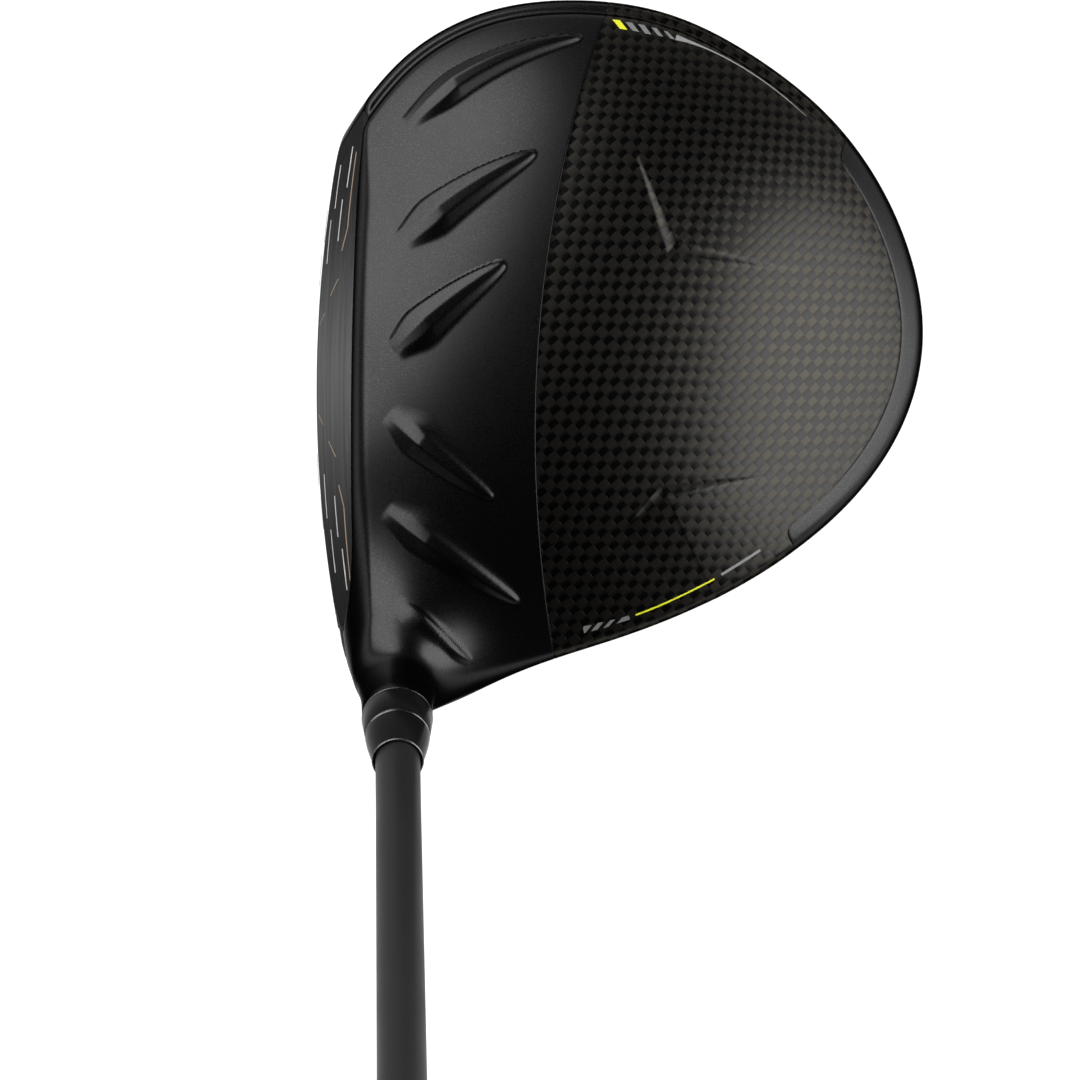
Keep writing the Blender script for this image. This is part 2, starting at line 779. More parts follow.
@dataclass(frozen=True)
class HeadLines:
    """The lines that divide the head's skin: face edge, front seam and rear rim."""

    face_middle: Pair = (4.0, WAIST)
    face_heel: float = -46.0  # the bare face ends here, before the hosel
    heel_rounding: float = 7.0
    samples: int = 3000  # points tried along each line
    seam_x: float = 3.5
    seam_y: float = -8.2
    seam_radius: float = 238.0
    rim_width: float = 4.4
    rim_corner: float = 0.06  # share of the rim's length over which each end turns down
    face_reach: float = 80.0  # distances from the middle within which the edge and the seam lie
    seam_reach: float = 110.0
    rim_toe: Pair = (62.5, 47.5)
    rim_heel: Pair = (53.0, -31.5)

    def face_edge(self, start: float, end: float, count: int) -> Array:
        """The edge of the face between two angles about its middle, in equal steps.

        Along each angle it is the place where the head's side comes to within the face's edge
        radius, or the heel limit, with the corner between the two rounded.

        Args:
            start: First angle.
            end: Last angle.
            count: How many points are returned.

        Returns:
            Array of count by 3.
        """
        angle = np.linspace(start, end, self.samples)
        y0, z0 = self.face_middle

        def place(reach: Array) -> Array:
            """Points of the face at a distance from its middle."""
            y, z = y0 + reach * np.cos(angle), z0 + reach * np.sin(angle)
            return np.stack([FORM.face_x(y, z), y, z], axis=-1)

        def value(reach: Array) -> Array:
            """Below 0 inside the edge.

            Args:
                reach: Distances from the middle.

            Returns:
                Value at each of them.
            """
            points = place(reach)
            inner = FORM.shell(points) + FORM.face_rounding(points[:, 1])
            return round_max(inner, self.face_heel - points[:, 1], self.heel_rounding)

        return even(place(bisect(value, 0.0, self.face_reach, len(angle))), count)

    def seam(self, count: int) -> Array:
        """The panel's front seam from heel to toe.

        An upright sheet with a large radius cuts the skin, and the line starts and ends at the
        waist.

        Args:
            count: How many points are returned.

        Returns:
            Array of count by 3.
        """
        angle = np.linspace(math.pi, 0.0, self.samples)

        def place(reach: Array) -> Array:
            """Points of the sheet at a distance from the middle of the head.

            Args:
                reach: Distances from the middle.

            Returns:
                The points.
            """
            y, z = self.seam_y + reach * np.cos(angle), WAIST + reach * np.sin(angle)
            drop = self.seam_radius - np.sqrt(self.seam_radius**2 - (y - self.seam_y) ** 2)
            return np.stack([self.seam_x + drop, y, z], axis=-1)

        reach = bisect(lambda reach: FORM.plain(place(reach)), 0.0, self.seam_reach, len(angle))
        return even(place(reach), count)

    def rim(self, count: int) -> Array:
        """Bearings of the rear rim's inner line from heel to toe, rounded down to the waist.

        Args:
            count: How many bearings are returned.

        Returns:
            Array of count by 3.
        """
        ends = [math.atan2(p[1] - INSIDE[1], p[0] - INSIDE[0]) for p in (self.rim_heel, self.rim_toe)]
        share = np.linspace(0.0, 1.0, self.samples)
        angle = ends[0] + (ends[1] - ends[0]) * share
        edge, slope = FORM.outline_at(angle)
        corner = np.clip(np.minimum(share, 1.0 - share) / self.rim_corner, 0.0, 1.0)
        held = (1.0 - (1.0 - corner) ** 3) ** (1.0 / 3.0)
        out = edge - self.rim_width * held / slope
        plan = INSIDE[:2] + np.stack([np.cos(angle), np.sin(angle)], axis=-1) * out[:, None]
        points = FORM.over_plan(plan)
        points[:, 2] = WAIST + (points[:, 2] - WAIST) * held
        return bearings(even(points, count))


LINES = HeadLines()


def ring_block(
    solid: Solid,
    grid: Array,
    inside: Array,
    circle: Callable[[Array], Array],
    turn: Callable[[Array], Array],
    surface: Field,
    rings: int,
    carved: bool = False,
) -> Array:
    """Open a block of a grid and fill it with rings that run from its edge to a circle.

    The block is the smallest one round the marked points. Its edge and the circle share their
    angles; the rings between them start on straight lines and are settled on the surface.

    Args:
        solid: Where grid and rings go.
        grid: Grid of points.
        inside: Marks the points that the block must hold.
        circle: Gives the circle's points at the given angles.
        turn: Gives the angle of points about the circle's axis.
        surface: Field whose surface the rings lie on.
        rings: Number of rings.
        carved: Whether fins and creases are raised on the rings.

    Returns:
        The circle's points, closed, for what follows.
    """
    rows, columns = np.nonzero(inside)
    top, foot = max(rows.min() - 1, 0), min(rows.max() + 1, grid.shape[0] - 1)
    left, right = max(columns.min() - 1, 1), min(columns.max() + 1, grid.shape[1] - 1)
    solid.add(grid, (top, foot, left, right))
    edge = outer_edge(grid[top:foot + 1, left:right + 1])
    angle = np.unwrap(turn(edge))
    full = np.linspace(angle[0], angle[0] + math.copysign(2.0 * math.pi, angle[-1] - angle[0]), len(edge))
    way = math.copysign(1.0, angle[-1] - angle[0])
    target = circle(way * np.sort(way * ((1.0 - EVENING) * angle + EVENING * full)))
    target[-1] = target[0]
    share = np.linspace(0.0, 1.0, rings + 1)[None, :, None]
    between = edge[:, None, :] * (1.0 - share) + target[:, None, :] * share
    between[:, 1:-1] = FORM.settle(between[:, 1:-1], surface)
    if carved:
        between[:, 1:-1] = FORM.carve(between[:, 1:-1])
    between[-1] = between[0]
    solid.add(between)
    return target


def chain(solid: Solid, first: Array, following: list[Array]) -> None:
    """Join closed rings of points in their order."""
    solid.add(np.stack([first, *following], axis=1))


# ---------------------------------------------------------------- finishes
class Nodes:
    """A tree of nodes, written in a short way."""

    def __init__(self, tree: bpy.types.NodeTree) -> None:
        """Work on a tree."""
        self.tree = tree

    def node(self, kind: str, settings: dict, inputs: dict) -> bpy.types.Node:
        """Add a node, set its options, and fill or link its inputs.

        Args:
            kind: Type of the node, without the words ShaderNode in front.
            settings: Options of the node.
            inputs: Values or sockets for its inputs, by name or number.

        Returns:
            The new node.
        """
        made = self.tree.nodes.new("ShaderNode" + kind)
        for key, value in settings.items():
            setattr(made, key, value)
        for key, value in inputs.items():
            if isinstance(value, Socket):
                self.tree.links.new(value, made.inputs[key])
            else:
                made.inputs[key].default_value = value
        return made

    def sum(self, operation: str, first: object, second: object = 0.0) -> Socket:
        """Result of one Math node."""
        return self.node("Math", {"operation": operation}, {0: first, 1: second}).outputs[0]

    def square(self, value: object) -> Socket:
        """A value times itself."""
        return self.sum("MULTIPLY", value, value)

    def span(
        self, value: object, low: float, high: float, first: float = 0.0, last: float = 1.0,
    ) -> Socket:
        """Carry a value from one range to another, held at the ends."""
        inputs = {"Value": value, "From Min": low, "From Max": high, "To Min": first, "To Max": last}
        return self.node("MapRange", {"clamp": True}, inputs).outputs[0]

    def blend(self, share: object, first: object, second: object) -> Socket:
        """Mix two colours; at share 0 the first shows, at share 1 the second."""
        first, second = ((*c, 1.0) if isinstance(c, tuple) else c for c in (first, second))
        return self.node("Mix", {"data_type": "RGBA"}, {0: share, 6: first, 7: second}).outputs[2]

    def mix(self, share: object, first: object, second: object) -> Socket:
        """Mix two values; at share 0 the first holds, at share 1 the second."""
        return self.node("Mix", {"data_type": "FLOAT"}, {0: share, 2: first, 3: second}).outputs[0]


class Graph(Nodes):
    """A material's nodes round one Principled shader."""

    def __init__(self, name: str) -> None:
        """Start a material with its shader.

        Args:
            name: Name of the material.
        """
        self.material = bpy.data.materials.new(name)
        self.material.use_nodes = True
        super().__init__(self.material.node_tree)
        self.shader = self.tree.nodes["Principled BSDF"]

    def place(self, scale: Triple, mapped: bool = False) -> Socket:
        """Object coordinates, or the piece's own flat map, with the given scale.

        Args:
            scale: Cells to the metre along each axis.
            mapped: Whether the flat map is read.

        Returns:
            The scaled place.
        """
        if mapped:
            source = self.node("UVMap", {"uv_map": "lay"}, {}).outputs[0]
        else:
            source = self.node("TexCoord", {}, {}).outputs["Object"]
        return self.node("Mapping", {}, {"Vector": source, "Scale": scale}).outputs[0]

    def noise(self, place: object, detail: float = 3.0, rough: float = 0.5) -> Socket:
        """Noise of scale one at a place."""
        inputs = {"Vector": place, "Scale": 1.0, "Detail": detail, "Roughness": rough}
        return self.node("TexNoise", {}, inputs).outputs[0]

    def set(self, **inputs: object) -> None:
        """Fill or link the shader's sockets; underscores stand for spaces.

        Args:
            inputs: Values or sockets by the names of the shader's sockets.
        """
        for key, value in inputs.items():
            socket = self.shader.inputs[key.replace("_", " ")]
            if isinstance(value, Socket):
                self.tree.links.new(value, socket)
            elif isinstance(value, tuple) and len(value) == 3 and socket.type == "RGBA":
                socket.default_value = (*value, 1.0)
            else:
                socket.default_value = value

    def bump(self, height: object, depth: float, strength: float = 1.0) -> None:
        """Let a height in shares of a depth in metres tip the surface."""
        inputs = {"Height": height, "Distance": depth, "Strength": strength}
        self.tree.links.new(self.node("Bump", {}, inputs).outputs[0], self.shader.inputs["Normal"])


@dataclass(frozen=True)
class SparklePaint:
    """Satin black metallic paint with fine pale flakes."""

    name: str = "satin_black_paint"
    colour: Triple = (0.030, 0.030, 0.0305)
    flake: Triple = (0.044, 0.044, 0.0445)
    roughness: float = 0.27

    def make(self) -> Material:
        """Flakes are the peaks of a noise a third of a millimetre wide, seen in colour and gloss.

        Returns:
            The new material.
        """
        graph = Graph(self.name)
        grain = graph.noise(graph.place((3600, 3600, 3600)), 2.0, 0.6)
        flakes = graph.span(grain, 0.52, 0.74)
        cloud = graph.noise(graph.place((60, 60, 60)), 3.0)
        base = graph.blend(graph.span(cloud, 0.35, 0.65), self.colour, tuple(c * 1.12 for c in self.colour))
        rough = graph.span(grain, 0.4, 0.75, self.roughness + 0.04, self.roughness - 0.04)
        graph.set(Base_Color=graph.blend(flakes, base, self.flake), Roughness=rough)
        graph.set(Metallic=1.0, Specular_Tint=(0.05, 0.05, 0.05))
        graph.bump(grain, 0.000004, 0.12)
        return graph.material


@dataclass(frozen=True)
class WovenFibre:
    """Woven carbon under a satin coat.

    Two sets of tows cross like the squares of a chess board whose squares stand on a corner. In one
    square the rising tow lies on top and looks warm grey; in the next the falling tow lies on top
    and fades from brown to black along its length.
    """

    name: str = "woven_carbon"
    rising: Pair = (37.736, 31.542)  # squares passed in a tenth of a metre
    falling: Pair = (37.736, -43.93)
    bright: Triple = (0.050, 0.0465, 0.040)
    brown: Triple = (0.030, 0.027, 0.023)
    black: Triple = (0.027, 0.027, 0.0275)
    wander: float = 0.004  # how far the tows stray, in tenths of a metre

    def make(self) -> Material:
        """Squares from whole parts, shades from the parts left over, fibres from a stretched noise.

        Returns:
            The new material.
        """
        graph = Graph(self.name)
        flat = graph.place((1, 1, 1), mapped=True)
        wander = graph.node("TexNoise", {}, {"Vector": flat, "Scale": 9.0, "Detail": 1.0}).outputs[1]
        inputs = {0: wander, 1: (self.wander, self.wander, 0), 2: flat}
        shift = graph.node("VectorMath", {"operation": "MULTIPLY_ADD"}, inputs).outputs[0]
        ways = [
            graph.node("VectorMath", {"operation": "DOT_PRODUCT"}, {0: shift, 1: (*across, 0.0)}).outputs[1]
            for across in (self.rising, self.falling)
        ]
        whole = [graph.sum("FLOOR", way) for way in ways]
        part = [graph.sum("SUBTRACT", way, floor) for way, floor in zip(ways, whole)]
        odd = graph.sum("PINGPONG", graph.sum("ADD", whole[0], whole[1]), 1.0)
        odd = graph.sum("GREATER_THAN", graph.sum("ABSOLUTE", odd), 0.5)
        sides = [graph.sum("ABSOLUTE", graph.sum("SUBTRACT", share, 0.5)) for share in part]
        fibres = []
        for turn in (-0.785, 0.785):
            inputs = {"Vector": flat, "Rotation": (0, 0, turn), "Scale": (90, 1500, 1)}
            fibres.append(graph.noise(graph.node("Mapping", {}, inputs).outputs[0], 2.0))
        top = graph.span(sides[1], 0.50, 0.36)
        top = graph.sum("MULTIPLY", top, graph.span(part[0], 0.0, 0.35, 0.75, 1.0))
        rising = graph.blend(top, self.brown, self.bright)
        rising = graph.blend(graph.span(fibres[0], 0.3, 0.7, 0.0, 0.35), rising, self.brown)
        fade = graph.sum("ADD", graph.sum("MULTIPLY", part[1], 1.5), graph.sum("MULTIPLY", sides[0], -0.5))
        falling = graph.blend(graph.span(fade, 0.05, 0.55), self.brown, self.black)
        falling = graph.blend(graph.span(fibres[1], 0.3, 0.7, 0.0, 0.3), falling, self.black)
        colour = graph.blend(odd, rising, falling)
        tone = graph.noise(graph.place((2.0, 2.0, 1.0), mapped=True), 2.0)
        colour = graph.blend(graph.span(tone, 0.3, 0.7, 0.0, 0.3), colour, self.black)
        height = graph.sum("SUBTRACT", 1.0, graph.sum("POWER", graph.sum("MULTIPLY", sides[1], 2.0), 2.0))
        other = graph.sum("SUBTRACT", 0.8, graph.sum("POWER", graph.sum("MULTIPLY", sides[0], 2.0), 2.0))
        soft = graph.span(fibres[0], 0.3, 0.7, 0.32, 0.39)
        plain = graph.span(fade, 0.05, 0.55, 0.36, 0.24)
        rough = graph.mix(odd, soft, plain)
        graph.set(Base_Color=colour, Roughness=rough, Metallic=1.0, Specular_Tint=(0.1, 0.1, 0.1))
        graph.bump(graph.mix(odd, height, other), 0.00003, 0.6)
        return graph.material


@dataclass(frozen=True)
class BrushedMetal:
    """Metal with fine scratches along one axis."""

    name: str
    colour: Triple
    roughness: float = 0.4
    metallic: float = 1.0
    scratches: Triple = (2500.0, 30.0, 2500.0)
    depth: float = 0.00001
    spread: float = 0.35
    edge: float = 0.8  # share of the light kept at a grazing view

    def make(self) -> Material:
        """A noise stretched along the scratches varies shade, gloss and height.

        Returns:
            The new material.
        """
        graph = Graph(self.name)
        lines = graph.noise(graph.place(self.scratches), 4.0, 0.65)
        cloud = graph.noise(graph.place((90, 90, 90)), 3.0)
        dark = tuple(c * (1.0 - self.spread) for c in self.colour)
        pale = tuple(min(c * (1.0 + self.spread), 1.0) for c in self.colour)
        shade = graph.blend(graph.span(lines, 0.3, 0.7), dark, pale)
        shade = graph.blend(graph.span(cloud, 0.35, 0.7, 0.0, 0.25), shade, dark)
        rough = graph.span(lines, 0.3, 0.7, self.roughness - 0.07, self.roughness + 0.07)
        graph.set(Base_Color=shade, Roughness=rough, Metallic=self.metallic, Specular_Tint=(self.edge,) * 3)
        graph.bump(lines, self.depth, 0.8)
        return graph.material


@dataclass(frozen=True)
class BrushedFace:
    """Dark brushed steel whose middle is worn paler by the brush than its ends."""

    name: str = "brushed_face"
    middle: Triple = (0.19, 0.19, 0.19)
    ends: Triple = (0.022, 0.022, 0.022)
    place: float = 0.003
    reach: float = 0.023

    def make(self) -> Material:
        """The pale share falls off as a bell along the width; streaks run from heel to toe.

        Returns:
            The new material.
        """
        graph = Graph(self.name)
        split = graph.node("SeparateXYZ", {}, {0: graph.place((1, 1, 1))})
        away = graph.sum("DIVIDE", graph.sum("SUBTRACT", split.outputs[1], self.place), self.reach)
        share = graph.sum("EXPONENT", graph.sum("MULTIPLY", graph.square(away), -1.0))
        lines = graph.noise(graph.place((900.0, 25.0, 2600.0)), 4.0, 0.65)
        wide = graph.noise(graph.place((300.0, 14.0, 420.0)), 3.0, 0.6)
        shade = graph.blend(share, self.ends, self.middle)
        fine, broad = graph.span(lines, 0.3, 0.7, 0.0, 0.35), graph.span(wide, 0.35, 0.65, 0.0, 0.3)
        streak = graph.sum("ADD", fine, broad)
        shade = graph.blend(streak, shade, self.ends)
        graph.set(Base_Color=shade, Roughness=graph.span(lines, 0.3, 0.7, 0.42, 0.55), Metallic=0.1)
        graph.set(Specular_IOR_Level=0.0, Specular_Tint=(0.05, 0.05, 0.05))
        graph.bump(lines, 0.00001, 0.8)
        return graph.material


@dataclass(frozen=True)
class Moulded:
    """Plastic, rubber or matt paint with a fine grain and small changes of shade."""

    name: str
    colour: Triple
    roughness: float = 0.5
    grain: float = 1500.0
    depth: float = 0.00002
    spread: float = 0.2
    gloss: float = 0.5

    def make(self) -> Material:
        """Fine noise for the grain and wide noise for handling marks.

        Returns:
            The new material.
        """
        graph = Graph(self.name)
        fine = graph.noise(graph.place((self.grain,) * 3), 3.0, 0.6)
        cloud = graph.noise(graph.place((45, 45, 45)), 4.0)
        dark = tuple(c * (1.0 - self.spread) for c in self.colour)
        pale = tuple(min(c * (1.0 + self.spread), 1.0) for c in self.colour)
        shade = graph.blend(graph.span(cloud, 0.3, 0.7), dark, pale)
        shade = graph.blend(graph.span(fine, 0.55, 0.8, 0.0, 0.4), shade, pale)
        rough = graph.span(cloud, 0.3, 0.7, self.roughness - 0.05, self.roughness + 0.06)
        graph.set(Base_Color=shade, Roughness=rough, Specular_IOR_Level=self.gloss)
        graph.bump(fine, self.depth, 0.7)
        return graph.material


def dress(piece: Piece, material: Material) -> None:
    """Give a piece one material, whatever it had.

    Args:
        piece: The piece.
        material: Its material.
    """
    if not piece.material_slots:
        piece.data.materials.append(material)
    for place in piece.material_slots:
        place.material = material


def settle_piece(
    piece: Piece, body: Body, nodes: tuple[str, ...], material: Material,
) -> None:
    """Tie a piece to its body, its CAD nodes and its slot, and dress it.

    Args:
        piece: The piece.
        body: Body that carries it.
        nodes: CAD nodes that it stands for.
        material: Its finish.
    """
    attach(piece, body.value)
    if nodes:
        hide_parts(*nodes)
    dress(piece, material)
    LOG.info("%s rides on %s", piece.name, body.value)


# ---------------------------------------------------------------- head
@dataclass
class HeadShell:
    """Painted metal body of the head: front of the crown, rear rim, walls, sole and hosel."""

    across: int = 424
    depth: int = 120
    core_rows: int = 9
    lower_face: int = 130
    panel_recess: float = 1.7
    face_recess: float = 1.5
    hosel_top: float = 68.5
    bore: float = 6.2
    tube: float = 7.4
    tube_step: float = 50.0
    root_reach: float = 17.0  # how far round the axis the hosel's root spreads
    root_from: float = 18.0  # and from where along it
    root_rings: int = 38
    neck_from: float = 61.0
    weight_place: Pair = (57.0, 8.0)
    pocket_radius: float = 10.65
    pocket_depth: float = 7.7
    margin: float = 2.5  # room round a hole for the rings that lead to it
    pocket_below: float = 20.0
    port_below: float = 12.0
    hole_rings: int = 8

    def strip(self, upper: Array, seam: Array) -> tuple[Array, Array]:
        """The front of the crown, between the face's upper edge and the seam.

        Lines from the inside point turn evenly from one border to the other; at both borders the
        skin rolls down into the recess of the next piece.

        Args:
            upper: Upper edge of the face.
            seam: Front seam of the panel.

        Returns:
            The points, and the directions in which they were found.
        """
        inner = np.linspace(0.0, 1.0, self.depth + 2)[1:-1]
        inner = inner[(inner > 0.008) & (inner < 0.992)]
        share = np.concatenate([[0, 0, 0.0012, 0.005], inner, [0.993, 0.9975, 1, 1]])
        ways = sweep(bearings(upper), bearings(seam), share)
        return FORM.shoot(ways, self.strip_inset(ways)), ways

    def strip_inset(self, ways: Array) -> Array:
        """How far each point of the strip lies below the skin.

        Args:
            ways: Grid of the strip.

        Returns:
            A depth for each of its points.
        """
        inset = np.zeros(ways.shape[:2])
        inset[:, :3] = self.face_recess, *PAINT_LIP
        inset[:, -3:] = *PANEL_LIP[::-1], self.panel_recess
        return inset

    def core(self, seam: Array, rim: Array) -> tuple[Array, Array]:
        """The ledge under the crown panel."""
        ways = sweep(bearings(seam), rim, np.linspace(0.0, 1.0, self.core_rows))
        return FORM.shoot(ways, np.full(ways.shape[:2], self.panel_recess), detailed=False), ways

    def rim(self, rim: Array) -> tuple[Array, Array]:
        """The band behind the panel, from the panel's edge down to the waist.

        Args:
            rim: Bearings of the panel's rear edge.

        Returns:
            The points, and the directions in which they were found.
        """
        flat = rim.copy()
        flat[:, 2] = 0.0
        share = np.array([
            0, 0, 0.012, 0.05, 0.12, 0.2, 0.28, 0.34, 0.38,
            0.42, 0.46, 0.5, 0.54, 0.59, 0.66, 0.76, 0.88, 1.0,
        ])
        ways = sweep(rim, unit(flat), share)
        return FORM.shoot(ways, self.rim_inset(ways), detailed=False), ways

    def rim_inset(self, ways: Array) -> Array:
        """How far each point of the rear band lies below the skin.

        Args:
            ways: Grid of the band.

        Returns:
            A depth for each of its points.
        """
        inset = np.zeros(ways.shape[:2])
        inset[:, :3] = self.panel_recess, *PANEL_LIP
        return inset

    def cup(self, ring: Array, start: Array, inset: Array) -> Array:
        """Walls and sole, from the waist to the lowest point.

        Args:
            ring: Points of the edge of the upper half.
            start: Directions of these points.
            inset: Their depths below the skin.

        Returns:
            Grid of the lower half.
        """
        share = np.array([
            0.0003, 0.0012, 0.006, 0.016, 0.030, 0.045, 0.060, 0.078, 0.098, 0.125, 0.165, 0.22,
            0.29, 0.37, 0.46, 0.55, 0.64, 0.74, 0.85, 1.0,
        ])
        fade = np.zeros(len(share))
        fade[:2] = 0.12, 0.02
        down = np.broadcast_to(np.array([0.0, 0.0, -1.0]), start.shape)
        ways = sweep(start, down, share)
        lower = FORM.shoot(ways, inset[:, None] * fade[None, :], detailed=False)
        return np.concatenate([ring[:, None, :], lower], axis=1)

    def face_floor(self, loop: Array) -> Array:
        """The ledge behind the face skin.

        Args:
            loop: Closed edge of the ledge.

        Returns:
            Grid from the edge to the middle.
        """
        middle = np.array([FORM.face_x(*LINES.face_middle) + self.face_recess, *LINES.face_middle])
        share = np.linspace(0.0, 1.0, 5)[None, :, None]
        return loop[:, None, :] * (1.0 - share) + middle * share

    def hosel(self, solid: Solid, strip: Array) -> Array:
        """Open the strip round the hosel and run its skin up to the top and down the bore.

        Args:
            solid: Where the skin goes.
            strip: Grid of the front of the crown.

        Returns:
            The lower end of the bore.
        """
        along, beside, _ = AXIS.split(strip)
        near = (beside < self.root_reach) & (along > self.root_from)
        radius = float(FORM.hosel_radius(np.array(self.neck_from)))
        ring = ring_block(
            solid, strip, near, lambda angle: AXIS.circle(radius, self.neck_from, angle), AXIS.angle,
            FORM.with_hosel, self.root_rings, carved=True,
        )
        angle = AXIS.angle(ring)
        steps = [62.0, 63.0, 64.0, 65.0, 66.5, self.hosel_top - 0.3]
        profile = [(float(FORM.hosel_radius(np.array(s))), s) for s in steps]
        profile += [
            (FORM.hosel_neck - 0.06, self.hosel_top - 0.08), (FORM.hosel_neck - 0.25, self.hosel_top),
            (self.bore, self.hosel_top), (self.bore, 60.0), (self.bore, self.tube_step),
        ]
        rings = [AXIS.circle(r, s, angle) for r, s in profile]
        chain(solid, ring, rings)
        return rings[-1]

    def sole_hole(self, solid: Solid, cup: Array) -> Array:
        """Open the sole for the weight's pocket and the wrench port.

        The pocket is a round wall square to the sole with a flat floor. The port runs up inside
        the head as the sleeve round the hosel tube.

        Args:
            solid: Where the walls go.
            cup: Grid of the lower half of the head.

        Returns:
            The upper end of the port's wall.
        """
        x, y = self.weight_place
        middle = np.array([x, y, FORM.sole_radius - math.sqrt(FORM.sole_radius**2 - x**2 - y**2)])
        out = unit(middle - np.array([0.0, 0.0, FORM.sole_radius]))
        side = unit(np.cross(out, np.array([1.0, 0.0, 0.0])))
        fore = np.cross(side, out)
        offset = cup - middle
        aside = np.linalg.norm(offset - (offset @ out)[..., None] * out, axis=-1)
        pocket = (aside < self.pocket_radius + self.margin) & (cup[..., 2] < self.pocket_below)
        port = (AXIS.split(cup)[1] < self.tube + self.margin) & (cup[..., 2] < self.port_below)
        first, second = self.cuts(pocket, port)
        grid, mark = self.stretch(cup, pocket, second, first)
        ring = ring_block(
            solid, grid, mark,
            lambda angle: self.on_sole(middle, out, fore, side, self.pocket_radius, angle),
            lambda points: np.arctan2((points - middle) @ side, (points - middle) @ fore),
            FORM.plain, self.hole_rings,
        )
        inward = ring - middle
        flat = inward - (inward @ out)[:, None] * out
        inner = [ring - out * 0.25 - flat * 0.006]
        inner += [middle + flat - out * depth for depth in (1.0, self.pocket_depth)]
        inner += [middle + flat * share - out * self.pocket_depth for share in (0.5, 0.0)]
        chain(solid, ring, inner)
        grid, mark = self.stretch(cup, port, first, second)
        ring = ring_block(solid, grid, mark, self.port_edge, AXIS.angle, FORM.plain, self.hole_rings)
        angle = AXIS.angle(ring)
        rings = [AXIS.circle(self.tube, stop, angle) for stop in (10.0, 14.0, 25.0, self.tube_step)]
        chain(solid, ring, rings)
        return rings[-1]

    def cuts(self, pocket: Array, port: Array) -> tuple[int, int]:
        """The two lines of the closed cup that lie midway between pocket and port.

        Args:
            pocket: Marks the pocket's points of the cup.
            port: Marks the port's points.

        Returns:
            Places of the two lines.
        """
        size = pocket.shape[0] - 1
        middle, other = (self.arc_middle(mark[:-1].any(axis=1)) for mark in (pocket, port))
        first = (middle + ((other - middle) % size) // 2) % size
        second = (other + ((middle - other) % size) // 2) % size
        return first, second

    @staticmethod
    def stretch(cup: Array, mark: Array, start: int, end: int) -> tuple[Array, Array]:
        """The lines of the closed cup from one line to another, with their marks.

        Args:
            cup: Grid of the cup.
            mark: Marked points.
            start: First line.
            end: Last line.

        Returns:
            The chosen lines and their marks.
        """
        size = cup.shape[0] - 1
        chosen = (start + np.arange((end - start) % size + 1)) % size
        return cup[chosen], mark[chosen]

    @staticmethod
    def arc_middle(marks: Array) -> int:
        """Middle of the marked stretch of a ring, as a place in the ring."""
        turn = np.exp(2j * math.pi * np.nonzero(marks)[0] / len(marks)).mean()
        return int(np.mod(np.angle(turn) / (2.0 * math.pi), 1.0) * len(marks))

    @staticmethod
    def on_sole(middle: Array, out: Array, fore: Array, side: Array, radius: float, angle: Array) -> Array:
        """A circle laid on the sole along its own axis.

        Args:
            middle: Middle of the circle.
            out: Direction of its axis.
            fore: First direction square to the axis.
            side: Second direction square to it.
            radius: Radius of the circle.
            angle: Angles of the points.

        Returns:
            The points.
        """
        flat = middle + radius * (np.cos(angle)[:, None] * fore + np.sin(angle)[:, None] * side)
        reach = bisect(lambda d: FORM.plain(flat + out * d[:, None]), -15.0, 15.0, len(angle))
        return flat + out * reach[:, None]

    def port_edge(self, angle: Array) -> Array:
        """Where the port's round wall meets the sole.

        Args:
            angle: Angles round the shaft's axis.

        Returns:
            The points.
        """
        radius = np.full(angle.shape, self.tube)
        reach = bisect(lambda s: -FORM.plain(AXIS.place(radius, s, angle)), -20.0, 24.0, len(angle))
        return AXIS.place(radius, reach, angle)

    @staticmethod
    def border(strip: Array, core: Array, band: Array, below: Array) -> Array:
        """Edge of the upper half, from the toe end of the face round the back to the start.

        Args:
            strip: Values on the front of the crown.
            core: Values on the ledge.
            band: Values on the rear band.
            below: Values along the lower edge of the face.

        Returns:
            The values along the whole edge.
        """
        return np.concatenate([
            strip[-1, :-1], core[-1, :-1], band[-1, :3], band[:0:-1, -1], band[0, [-1, 2, 1]], core[0, :0:-1],
            strip[0, :0:-1], below,
        ])

    def build(self, finish: Material) -> Piece:
        """Make the shell from its patches.

        Args:
            finish: Material of the painted metal.

        Returns:
            The finished piece.
        """
        solid = Solid()
        upper = LINES.face_edge(math.pi, 0.0, self.across)
        lower = LINES.face_edge(math.pi, 2.0 * math.pi, self.lower_face)
        seam, rim = LINES.seam(self.across), LINES.rim(self.across)
        strip, strip_ways = self.strip(upper, seam)
        core, core_ways = self.core(seam, rim)
        band, band_ways = self.rim(rim)
        core[:, 0], core[:, -1] = strip[:, -1], band[:, 0]
        lower_ways = bearings(lower)
        lower_ways[0], lower_ways[-1] = strip_ways[0, 0], strip_ways[-1, 0]
        below = FORM.shoot(lower_ways, np.full(len(lower), self.face_recess))
        below[0], below[-1] = strip[0, 0], strip[-1, 0]
        solid.add(core)
        solid.add(band)
        bore = self.hosel(solid, strip)
        core_inset = np.full(core.shape[:2], self.panel_recess)
        below_inset = np.full(len(below), self.face_recess)
        cup = self.cup(
            self.border(strip, core, band, below),
            self.border(strip_ways, core_ways, band_ways, lower_ways),
            self.border(self.strip_inset(strip), core_inset, self.rim_inset(band), below_inset),
        )
        port = self.sole_hole(solid, cup)
        solid.join(bore, port)
        loop = np.concatenate([strip[:, 0], below[-2:0:-1], strip[:1, 0]])
        solid.add(self.face_floor(loop))
        piece = solid.build("head_shell")
        lay_map(piece, crown_map)
        settle_piece(piece, Body.HEAD, ("head_body",), finish)
        return piece


